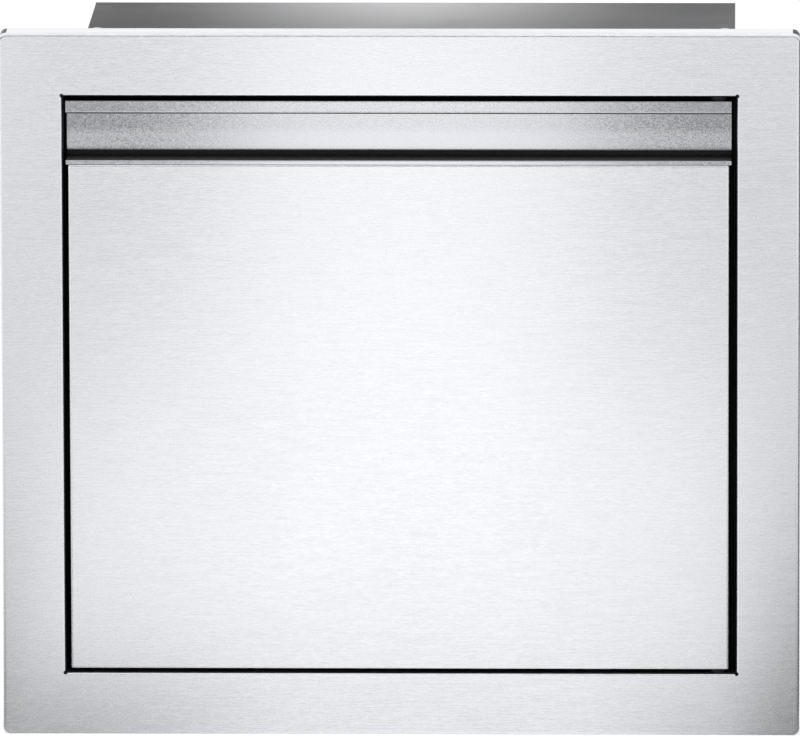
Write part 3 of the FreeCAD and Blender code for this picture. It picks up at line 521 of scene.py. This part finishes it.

# %% [markdown]
# The grip is a separate channel with a satin, grainy finish, a little darker than the door. Its grain
# is close to round, so noise without much stretch is enough. The tight bend at the foot of the back wall,
# the narrow floor and the lip's lower edge get a near-black painted shade: a mask on the piece's own
# coordinates lays it there. The lip, the wall close behind it and the wall above the bend get a lighter
# painted shade, darkest towards both ends.

# %% Where the grip's shade is painted
GRIP_STRIP = 2.4 * MM
GRIP_COVE = 4.0 * MM
GRIP_BEND = 0.5 * MM
GRIP_LIP = 7.5 * MM
COVE_OVER, COVE_UNDER = 0.6 * MM, 0.8 * MM     # the painted shade fades out across the cove's top
LIP_SHADE_H = 0.8 * MM          # height of the painted shade at the lip's lower edge
LIP_FADE = 0.1 * MM
WALL_NEAR, WALL_BACK = 6.0 * MM, 8.0 * MM      # depths between which the back wall begins
WALL_FOOT = 2.4 * MM         # heights above the cove: the wall is free of painted shade from here
WALL_BRIGHT = 8.0 * MM       # to here
WALL_SHADE_FULL = 13.6 * MM        # and fully under the lip's painted shade from here
grip_low, grip_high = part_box("handle_channel")
grip_floor = grip_low.z + GRIP_STRIP
cove_top = grip_floor + GRIP_COVE
lip_bottom = grip_high.z - GRIP_LIP


def painted_recess_shade(finish):
    """One where near-black shade is painted: on the grip's floor, in its cove and as high as the lip's lower edge;
    zero elsewhere.
    """
    up = finish.along("Z")
    back = finish.along("Y")
    low_down = finish.between(up, cove_top + COVE_OVER, cove_top - COVE_UNDER)
    behind_edge = finish.between(back, grip_low.y + 0.5 * GRIP_BEND, grip_low.y + 2 * GRIP_BEND)
    over = finish.between(up, lip_bottom - 2 * LIP_FADE, lip_bottom - LIP_FADE)
    lip_shade_top = lip_bottom + LIP_SHADE_H
    under = finish.between(up, lip_shade_top + LIP_FADE, lip_shade_top - LIP_FADE)
    return low_down * behind_edge + over * under


def painted_grip_shade(finish):
    """One where shade is painted: on the lip, the wall behind it and the wall above the cove."""
    up = finish.along("Z")
    on_wall = finish.between(finish.along("Y"), grip_low.y + WALL_NEAR, grip_low.y + WALL_BACK)
    behind_lip = finish.between(up, cove_top + WALL_BRIGHT, cove_top + WALL_SHADE_FULL)
    above_cove = finish.between(up, cove_top + WALL_FOOT, cove_top)
    return behind_lip + on_wall * above_cove


print("grip's floor at", round(grip_floor / MM, 1), "mm, top of its cove at", round(cove_top / MM, 1))

# %% [markdown]
# With the masks ready, the satin steel is a choice of shades. Each is grained between a dark and a pale
# gray, and the masks pick which one shows. Where the near-black shade is painted, the steel is also
# rougher and hardly metallic, so it stays dark whatever stands before it.

# %% Satin steel of the grip
GRAIN_SIZE = 0.6 * MM
GRAIN_DEPTH = 0.003 * MM
END_FADE = 80 * MM           # from the middle to where the painted shade grows darker still
BRIGHT_SHADES = (0.575, 0.675, 0.034)
# painted shade: darker copies of the steel for the lip and the wall near it, darker still towards the ends
SHADED_MIDDLE_SHADES = (0.48, 0.68, 0.026)
SHADED_END_SHADES = (0.34, 0.55, 0.020)
# near-black painted shade for the cove and the grip's floor
COVE_PAINTED_SHADES = (0.010, 0.022)
GRIP_FLOOR_PAINTED_SHADES = (0.04, 0.07)
GRIP_FLOOR_FADE = 0.3 * MM
GRIP_ROUGH, GRIP_ROUGH_RANGE = 0.18, 0.10
# the painted shade is also rougher and hardly metallic, so it stays dark
PAINTED_SHADE_ROUGHER, PAINTED_SHADE_LESS_METAL = 0.3, 0.9
GRIP_RIM = 0.3               # tint at a low look, which keeps the steel from turning white there


def satin_steel(name):
    material, finish = new_material(name)
    speck = finish.noise(finish.place(), 1 / GRAIN_SIZE, roughness=0.7)
    drawn = strokes(finish, 3 * GRAIN_SIZE, GRAIN_SIZE, detail=1.0)
    grain = finish.stronger(speck * 0.8 + drawn * 0.2, reach=0.15)
    # painted shade on the lip, behind it and above the cove, darkest towards both ends where the reflection falls
    # off
    outward = finish.between(abs(finish.along("X")), END_FADE, grip_high.x)
    shaded_middle, shaded_ends = finish.shades(grain, *SHADED_MIDDLE_SHADES), finish.shades(grain, *SHADED_END_SHADES)
    bright = finish.shades(grain, *BRIGHT_SHADES)
    steel_with_shade = finish.blend(painted_grip_shade(finish), bright, finish.blend(outward, shaded_middle, shaded_ends))
    # painted near-black shade on the floor, in the cove and under the lip's edge
    on_floor = finish.between(finish.along("Z"), grip_floor + GRIP_FLOOR_FADE, grip_floor)
    cove_shade_colour = finish.shades(grain, *COVE_PAINTED_SHADES)
    grip_floor_shade_colour = finish.shades(grain, *GRIP_FLOOR_PAINTED_SHADES)
    recess_shade_colour = finish.blend(on_floor, cove_shade_colour, grip_floor_shade_colour)
    recess_shade = painted_recess_shade(finish)
    finish.principled({
        "Base Color": finish.blend(recess_shade, steel_with_shade, recess_shade_colour),
        "Metallic": 1.0 - recess_shade * PAINTED_SHADE_LESS_METAL,
        "Specular Tint": gray(GRIP_RIM),
        "Roughness": GRIP_ROUGH + (grain - 0.5) * GRIP_ROUGH_RANGE + recess_shade * PAINTED_SHADE_ROUGHER,
        "Normal": finish.bump(grain, GRAIN_DEPTH, strength=0.6),
    })
    return material


print("grip's grain", round(GRAIN_SIZE / MM, 1), "mm")

# %% [markdown]
# The box and the door's liner are plain mill-finish sheet: duller, with a cloudy rolled surface, faint
# lines along the rolling direction and a few rubbed patches where it was handled. A picture of real
# sheet would repeat on faces this large, so noise makes it: stretched for the lines, broad for the
# clouds, and the peaks of a third noise for the patches.

# %% Mill-finish sheet of the box
ROLL_LINES = (900.0, 40.0, 900.0)
ROLL_DEPTH = 0.006 * MM
SHEET_CLOUDS, SHEET_RUBS = 9.0, 22.0
RUBBED = (0.55, 0.75)        # the peaks of the noise that are rubbed
SHEET_SHADES = (0.48, 0.56, 0.010)
SHEET_ROUGH, SHEET_ROUGH_RANGE = 0.30, 0.15
RUBBED_ROUGHER = 0.06
SHEET_RIM = 0.15             # tint at a low look, which keeps the sheet gray there


def mill_sheet(name):
    material, finish = new_material(name)
    rolled = finish.noise(finish.scaled(finish.place(), ROLL_LINES), 1.0)
    cloud = finish.noise(finish.place(), SHEET_CLOUDS, detail=4.0, roughness=0.55)
    rubs = finish.noise(finish.place(), SHEET_RUBS, detail=5.0, roughness=0.6)
    rubbed = finish.between(rubs, *RUBBED)
    tone = rolled * 0.25 + cloud * 0.75
    finish.principled({
        "Base Color": finish.shades(finish.stronger(tone, reach=0.2), *SHEET_SHADES),
        "Metallic": 1.0,
        "Specular Tint": gray(SHEET_RIM),
        "Roughness": SHEET_ROUGH + (tone - 0.5) * SHEET_ROUGH_RANGE + rubbed * RUBBED_ROUGHER,
        "Normal": finish.bump(rolled, ROLL_DEPTH, strength=0.5),
    })
    return material


print("mill sheet's clouds about", round(1 / SHEET_CLOUDS / MM), "mm")

# %% [markdown]
# The pivot plates, the catch bracket and the strike are zinc plated. Zinc has a faintly blue tint and
# a patchy crystal look, which a cell texture gives.

# %% Zinc plate
ZINC_CELLS, ZINC_SPECKS = 420.0, 1500.0
ZINC_DEPTH = 0.01 * MM
ZINC_DARK, ZINC_PALE = gray(0.42, 0.015), gray(0.66, 0.02)
ZINC_ROUGH, ZINC_ROUGH_RANGE = 0.30, 0.2


def zinc_plate(name):
    material, finish = new_material(name)
    sockets = {"Vector": finish.place(), "Scale": ZINC_CELLS}
    cells = finish.add("ShaderNodeTexVoronoi", {}, sockets, "Color")
    patch = finish.add("ShaderNodeSeparateColor", {}, {0: cells})
    speck = finish.noise(finish.place(), ZINC_SPECKS)
    tone = patch * 0.55 + speck * 0.45
    finish.principled({
        "Base Color": finish.blend(tone, ZINC_DARK, ZINC_PALE),
        "Metallic": 1.0,
        "Roughness": ZINC_ROUGH + tone * ZINC_ROUGH_RANGE,
        "Normal": finish.bump(speck, ZINC_DEPTH, strength=0.5),
    })
    return material


print("zinc cells about", round(1 / ZINC_CELLS / MM, 1), "mm")

# %% [markdown]
# Rivets, screws and pins are plain stainless. Small heads are cold formed, so they are smoother than
# the sheet, with faint specks and duller patches. They show as a few pixels, so two sizes of noise are
# enough.

# %% Fasteners
HEAD_SPECKS, HEAD_SMEARS = 2200.0, 350.0
HEAD_DEPTH = 0.015 * MM
HEAD_SHADES = (0.48, 0.72, 0.004)
HEAD_ROUGH, HEAD_ROUGH_RANGE = 0.2, 0.2


def fastener_steel(name):
    material, finish = new_material(name)
    speck = finish.noise(finish.place(), HEAD_SPECKS)
    smear = finish.noise(finish.place(), HEAD_SMEARS, detail=3.0)
    finish.principled({
        "Base Color": finish.shades(speck * 0.5 + smear * 0.5, *HEAD_SHADES),
        "Metallic": 1.0,
        "Roughness": HEAD_ROUGH + smear * HEAD_ROUGH_RANGE,
        "Normal": finish.bump(smear, HEAD_DEPTH, strength=0.5),
    })
    return material


print("fasteners' smears about", round(1 / HEAD_SMEARS / MM, 1), "mm")

# %% [markdown]
# The bushes, the catch's housing and the seal are black: hard nylon, moulded plastic with a fine spark
# grain, and matt rubber with a little bloom. Each is a dark base with its own grain, because a plain
# black would look painted. The magnet is sintered ferrite, gray with coarse specks.

# %% Black parts and magnet
DARK_CLOUDS = 60.0
DARK_GLOSS = 0.25


def dark_material(name, dark, pale, grains, depth, rough, rough_range):
    """A dark moulded or sintered surface with so many grains to a metre."""
    material, finish = new_material(name)
    grain = finish.noise(finish.place(), grains, detail=3.0, roughness=0.6)
    cloud = finish.noise(finish.place(), DARK_CLOUDS, detail=3.0)
    tone = finish.stronger(grain * 0.6 + cloud * 0.4, reach=0.15)
    finish.principled({
        "Base Color": finish.shades(tone, dark, pale),
        "Specular IOR Level": DARK_GLOSS,
        "Roughness": rough + (tone - 0.5) * rough_range,
        "Normal": finish.bump(grain, depth, strength=0.7),
    })
    return material


print("dark parts' clouds about", round(1 / DARK_CLOUDS / MM), "mm")

# %% [markdown]
# The seal is a black rubber strip all round the opening. A base lies on the frame's stop flange, a thin
# skirt lines the returns as painted shade, a black sheet that makes the gap round the door black, and a
# hollow bulb takes the door. A real strip is extruded, so both parts are made like an extrusion: a
# section carried along a path. Two helpers do that. One gives points round a rectangle, the other joins
# rings of points.

# %% Seal helpers
SEAL_BASE_T = 1.2 * MM
SEAL_RING = 15.5 * MM
SEAL_HOLE_R = 5.5 * MM
CORNER_STEPS = 8
seal_low, seal_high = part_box("door_seal")
pivot = Vector(frame["joints"][0]["pos_m"])


def corner_loop(low, high, radius, y):
    """Points round a rectangle with rounded corners, facing front."""
    points = []
    corners = ((high.x - radius, high.z - radius, 0), (low.x + radius, high.z - radius, 90),
               (low.x + radius, low.z + radius, 180), (high.x - radius, low.z + radius, 270))
    for x, z, start in corners:
        for step in range(CORNER_STEPS + 1):
            turn = math.radians(start + 90 * step / CORNER_STEPS)
            points.append((x + radius * math.cos(turn), y, z + radius * math.sin(turn)))
    return points


def ring_faces(rings, count, closed):
    """Quads between rings of points; closed joins the last ring to the first."""
    faces = []
    spans = len(rings) if closed else len(rings) - 1
    for i in range(spans):
        j = (i + 1) % len(rings)
        for k in range(count):
            m = (k + 1) % count
            faces.append((rings[i] + k, rings[i] + m, rings[j] + m, rings[j] + k))
    return faces


print("seal space in mm", [round(v / MM, 1) for v in seal_high - seal_low])

# %% [markdown]
# The base and the skirt share one section, an L with softened edges. Each of its points becomes a
# rounded rectangle, so the corners of the strip come out bent as the rubber would be.

# %% Seal base and skirt
SEAL_EDGE_R = 0.35 * MM
SEAL_OUTER_R = 0.05 * MM
# the skirt is a black sheet of painted shade that makes the gap round the door black
PAINTED_SHADE_SKIRT_T = 0.5 * MM
EDGE_MIDDLE = 0.3            # share of a radius from the two sides to the middle of a rounded edge


def seal_base():
    """The skirt and the flat strip: rounded rectangles from the returns to the inner edge."""
    back = seal_high.y
    front = back - SEAL_BASE_T
    edge = seal_low.y
    r = SEAL_EDGE_R
    mid = EDGE_MIDDLE * r
    section = [(0, back), (0, edge), (PAINTED_SHADE_SKIRT_T, edge), (PAINTED_SHADE_SKIRT_T, front - r),
               (PAINTED_SHADE_SKIRT_T + mid, front - mid), (PAINTED_SHADE_SKIRT_T + r, front), (SEAL_RING - r, front),
               (SEAL_RING - mid, front + mid), (SEAL_RING, front + r), (SEAL_RING, back)]
    verts = []
    rings = []
    for inset, y in section:
        step = Vector((inset, 0, inset))
        radius = SEAL_OUTER_R + (SEAL_HOLE_R - SEAL_OUTER_R) * inset / SEAL_RING
        rings.append(len(verts))
        verts += corner_loop(seal_low + step, seal_high - step, radius, y)
    count = 4 * (CORNER_STEPS + 1)
    return verts, ring_faces(rings, count, True)


base_verts, base_faces = seal_base()
print("seal base faces", len(base_faces))

# %% [markdown]
# The bulb is a hollow D that runs along three sides and stops short of the pivots. A real door presses
# it a little when it closes. Here it ends just clear of the door, because this mesh can't give way. Its
# path carries the outward direction at each place, which keeps the D's foot on the base all the way.

# %% Seal bulb
BULB_W = 6.0 * MM
BULB_WALL = 0.7 * MM
BULB_END = 6.4 * MM          # pivot axis to the bulb's ends
BULB_STEPS = 14
SEAL_DOOR_CLEAR = 0.3 * MM


def bulb_path():
    """Down the middle of the bulb: from the pivot side along the bottom, up the left, back on top."""
    inset = SEAL_RING - BULB_W / 2
    low = seal_low + Vector((inset, 0, inset))
    high = seal_high - Vector((inset, 0, inset))
    radius = SEAL_HOLE_R + BULB_W / 2
    end = pivot.x - BULB_END
    path = [(end, low.z, 0.0, -1.0)]
    for x, z, start in ((low.x + radius, low.z + radius, 270), (low.x + radius, high.z - radius, 180)):
        for step in range(CORNER_STEPS + 1):
            turn = math.radians(start - 90 * step / CORNER_STEPS)
            out_x, out_z = math.cos(turn), math.sin(turn)
            path.append((x + radius * out_x, z + radius * out_z, out_x, out_z))
    path.append((end, high.z, 0.0, 1.0))
    return path


def bulb_section(height):
    """A hollow D as pairs of width and height: out along its outside, back along its inside."""
    turns = [math.pi * step / BULB_STEPS for step in range(BULB_STEPS + 1)]
    half, inner_half, inner_height = BULB_W / 2, BULB_W / 2 - BULB_WALL, height - BULB_WALL
    outside = [(math.cos(turn) * half, math.sin(turn) * height) for turn in turns]
    inside = [(math.cos(turn) * inner_half, math.sin(turn) * inner_height) for turn in reversed(turns)]
    return outside + inside


def seal_bulb(first):
    """The section carried along the path, with both ends closed; first is its first point's number."""
    base_y = seal_high.y - SEAL_BASE_T
    section = bulb_section(base_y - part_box("door_liner")[1].y - SEAL_DOOR_CLEAR)
    verts = []
    rings = []
    for x, z, out_x, out_z in bulb_path():
        rings.append(first + len(verts))
        verts += [(x + out_x * w, base_y - h, z + out_z * w) for w, h in section]
    count = len(section)
    faces = ring_faces(rings, count, False)
    for ring, turned in ((rings[0], False), (rings[-1], True)):
        for k in range(BULB_STEPS):
            face = (ring + k, ring + k + 1, ring + count - 2 - k, ring + count - 1 - k)
            faces.append(face[::-1] if turned else face)
    return verts, faces


bulb_verts, bulb_faces = seal_bulb(len(base_verts))
print("seal bulb faces", len(bulb_faces))

# %% [markdown]
# Both parts become one mesh, and its faces are turned outward. At the pivots the skirt would run into
# the flanges of the bush and the washer, so a round piece is cut out of it there, as a fitter would
# punch it. Then the seal takes the plain one's place on the cabinet.

# %% Seal in one piece
SEAL_PIVOT_CLEAR = 0.3 * MM
CUT_SIDES = 48
SMOOTH_UP_TO = math.radians(35)


def seal_mesh():
    mesh = bpy.data.meshes.new("rubber_seal")
    mesh.from_pydata(base_verts + bulb_verts, [], base_faces + bulb_faces)
    mesh.validate()
    seal = bpy.data.objects.new("rubber_seal", mesh)
    bpy.context.scene.collection.objects.link(seal)
    bpy.context.view_layer.objects.active = seal
    seal.select_set(True)
    bpy.ops.object.mode_set(mode="EDIT")
    bpy.ops.mesh.select_all(action="SELECT")
    bpy.ops.mesh.normals_make_consistent(inside=False)
    bpy.ops.object.mode_set(mode="OBJECT")
    return seal


def cut_for_pivot(seal, carrier):
    """Takes the skirt away round the flange of a pivot's bush or washer."""
    low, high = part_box(carrier)
    radius = (high.x - low.x) / 2 + SEAL_PIVOT_CLEAR
    deep = high.z - low.z + 2 * PAINTED_SHADE_SKIRT_T
    bpy.ops.mesh.primitive_cylinder_add(vertices=CUT_SIDES, radius=radius, depth=deep,
                                        location=(pivot.x, pivot.y, (low.z + high.z) / 2))
    cutter = bpy.context.object
    cut = seal.modifiers.new("pivot", "BOOLEAN")
    cut.operation = "DIFFERENCE"
    cut.solver = "EXACT"
    cut.object = cutter
    bpy.context.view_layer.objects.active = seal
    bpy.ops.object.modifier_apply(modifier=cut.name)
    bpy.data.objects.remove(cutter)


seal = seal_mesh()
for carrier in ("lower_thrust_washer", "upper_pivot_bush"):
    cut_for_pivot(seal, carrier)
seal.select_set(True)
bpy.ops.object.shade_auto_smooth(angle=SMOOTH_UP_TO)
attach(seal, "cabinet")
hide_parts("door_seal")
print("seal faces", len(seal.data.polygons))

# %% [markdown]
# Every piece of the record names the finish it wears, so dressing the model is one loop.

# %% Dress the pieces
finishes = {
    "brushed_steel": brushed_steel("brushed_steel"),
    "satin_steel": satin_steel("satin_steel"),
    "box_steel": mill_sheet("mill_sheet"),
    "plate_steel": zinc_plate("zinc_plate"),
    "fastener_steel": fastener_steel("fastener_steel"),
    "nylon": dark_material("black_nylon", dark=0.004, pale=0.009, grains=700.0,
                           depth=0.01 * MM, rough=0.5, rough_range=0.15),
    "black_rubber": dark_material("black_rubber", dark=0.006, pale=0.016, grains=1600.0,
                                  depth=0.03 * MM, rough=0.75, rough_range=0.2),
    "black_plastic": dark_material("black_plastic", dark=0.018, pale=0.034, grains=1100.0,
                                   depth=0.03 * MM, rough=0.5, rough_range=0.2),
    "magnet": dark_material("ferrite", dark=0.04, pale=0.10, grains=900.0,
                            depth=0.03 * MM, rough=0.6, rough_range=0.25),
}


def dress(piece, slot):
    piece.data.materials.clear()
    piece.data.materials.append(finishes[slot])


for entry in frame["record"]["subparts"]:
    dress(frame["nodes"][entry["node"]], entry["material_slot"])
dress(seal, "black_rubber")
